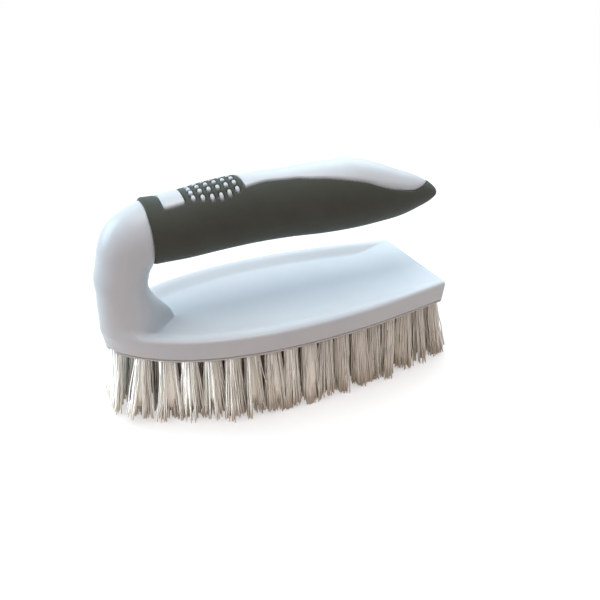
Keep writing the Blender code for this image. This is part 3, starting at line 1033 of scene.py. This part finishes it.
def gloss_white():
    """Moulded white plastic: faint flow clouding and a fine satin grain."""
    material, shader = new_material("white_plastic", white_color, white_roughness)
    cloud(material, shader, white_clouds, white_cloud_stops)
    vary_roughness(material, shader, white_patches, white_roughness_range)
    grain(material, shader, white_grain_noise, white_grain)
    return material


def block_white():
    """Duller white plastic of the plate that holds the tufts."""
    material, shader = new_material("block_plastic", block_color, block_roughness)
    cloud(material, shader, block_clouds, block_cloud_stops)
    grain(material, shader, block_grain_noise, block_grain)
    return material


def grip_rubber():
    """Soft-touch rubber: matt, with a fine grain and faintly polished patches."""
    material, shader = new_material("grip_rubber", grip_color, grip_roughness)
    cloud(material, shader, grip_clouds, grip_cloud_stops)
    vary_roughness(material, shader, grip_patches, grip_roughness_range)
    grain(material, shader, grip_grain_noise, grip_grain)
    shader.inputs["Specular IOR Level"].default_value = grip_specular
    shader.inputs["Sheen Weight"].default_value = grip_sheen
    shader.inputs["Sheen Roughness"].default_value = grip_sheen_roughness
    shader.inputs["Sheen Tint"].default_value = grip_sheen_tint
    return material


def bristle_nylon():
    """Cream-white filaments, each a little lighter or darker, browner towards their tips."""
    material, shader = new_material("bristle_nylon", nylon_color, nylon_roughness)
    tree = material.node_tree
    tone = ramp(tree, attribute(tree, "tone"), nylon_tone_stops)
    # Each filament turns browner towards its tip
    tip_tone = ramp(tree, attribute(tree, "down"), nylon_tip_stops)
    tree.links.new(mix(tree, "MULTIPLY", 1.0, tone, tip_tone), shader.inputs["Base Color"])
    return material


# Stage


def seen_directly(tree):
    """1 for what the camera sees, straight or in a reflection, and 0 for light on the object."""
    path = tree.nodes.new("ShaderNodeLightPath")
    total = path.outputs["Is Camera Ray"]
    for name in ("Is Glossy Ray", "Is Transmission Ray"):
        add = tree.nodes.new("ShaderNodeMath")
        add.operation = "ADD"
        add.use_clamp = True
        tree.links.new(total, add.inputs[0])
        tree.links.new(path.outputs[name], add.inputs[1])
        total = add.outputs["Value"]
    return total


def make_stage():
    """Floor that looks white, keeps the brush's shadow and throws back a warmer light."""
    size = floor_half_size
    corners = [(-size, -size, 0), (size, -size, 0), (size, size, 0), (-size, size, 0)]
    mesh = bpy.data.meshes.new("floor")
    mesh.from_pydata(corners, [], [(0, 1, 2, 3)])
    floor = bpy.data.objects.new("floor", mesh)
    bpy.context.scene.collection.objects.link(floor)
    material, shader = new_material("floor", floor_bounce, floor_roughness)
    shader.inputs["Specular IOR Level"].default_value = 0.0
    tree = material.node_tree
    seen = seen_directly(tree)
    color = mix(tree, "MIX", seen, floor_bounce, floor_seen)
    tree.links.new(color, shader.inputs["Base Color"])
    shader.inputs["Emission Color"].default_value = (1, 1, 1, 1)
    tree.links.new(spread(tree, seen, 0, floor_seen_glow), shader.inputs["Emission Strength"])
    mesh.materials.append(material)


def area_light(name, place, size, power, color):
    """A soft lamp that points at the brush."""
    data = bpy.data.lights.new(name, "AREA")
    data.shape = "ELLIPSE"
    data.size, data.size_y = size
    data.energy = power
    data.color = color
    light = bpy.data.objects.new(name, data)
    light.location = place
    aim = Vector(lamp_target) - Vector(place)
    light.rotation_mode = "QUATERNION"
    light.rotation_quaternion = aim.to_track_quat("-Z", "Y")
    bpy.context.scene.collection.objects.link(light)
    return light


def dome_color(tree):
    """Soft light that comes broadly from above, from behind and, faintly, from the nose."""
    place = tree.nodes.new("ShaderNodeTexCoord")
    parts = tree.nodes.new("ShaderNodeSeparateXYZ")
    tree.links.new(place.outputs["Generated"], parts.inputs["Vector"])
    total = None
    for axis, turn, light in (
        ("Z", 1, light_from_above),
        ("X", -1, light_from_nose),
        ("Y", 1, light_from_behind),
    ):
        share = tree.nodes.new("ShaderNodeMath")
        share.operation = "MULTIPLY"
        share.use_clamp = True
        share.inputs[1].default_value = turn
        tree.links.new(parts.outputs[axis], share.inputs[0])
        add = tree.nodes.new("ShaderNodeVectorMath")
        add.operation = "MULTIPLY_ADD"
        tree.links.new(share.outputs["Value"], add.inputs[0])
        add.inputs[1].default_value = light
        add.inputs[2].default_value = (0, 0, 0)
        if total:
            tree.links.new(total, add.inputs[2])
        total = add.outputs["Vector"]
    return total


def make_light(bristles):
    """World, lamps, and fills that light the bristles alone."""
    world = bpy.data.worlds.new("studio")
    bpy.context.scene.world = world
    world.use_nodes = True
    tree = world.node_tree
    background = tree.nodes["Background"]
    color = mix(tree, "MIX", seen_directly(tree), dome_color(tree), (1, 1, 1))
    tree.links.new(color, background.inputs["Color"])
    for lamp in lamps:
        area_light(*lamp)

    # The fills stand for the light that real nylon passes on from strand to strand
    group = bpy.data.collections.new("lit_by_fills")
    for row in bristles:
        group.objects.link(row)
    for fill in bristle_fills:
        area_light(*fill).light_linking.receiver_collection = group


def main():
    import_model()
    make_camera()
    outline = base_outline()
    white = gloss_white()
    make_body(outline, white)
    make_grip(grip_rubber())
    make_panel(white)
    make_block(outline, block_white())
    bristles = make_bristles(outline, bristle_nylon())
    make_stage()
    make_light(bristles)
    bpy.context.scene.view_settings.view_transform = "Standard"


main()
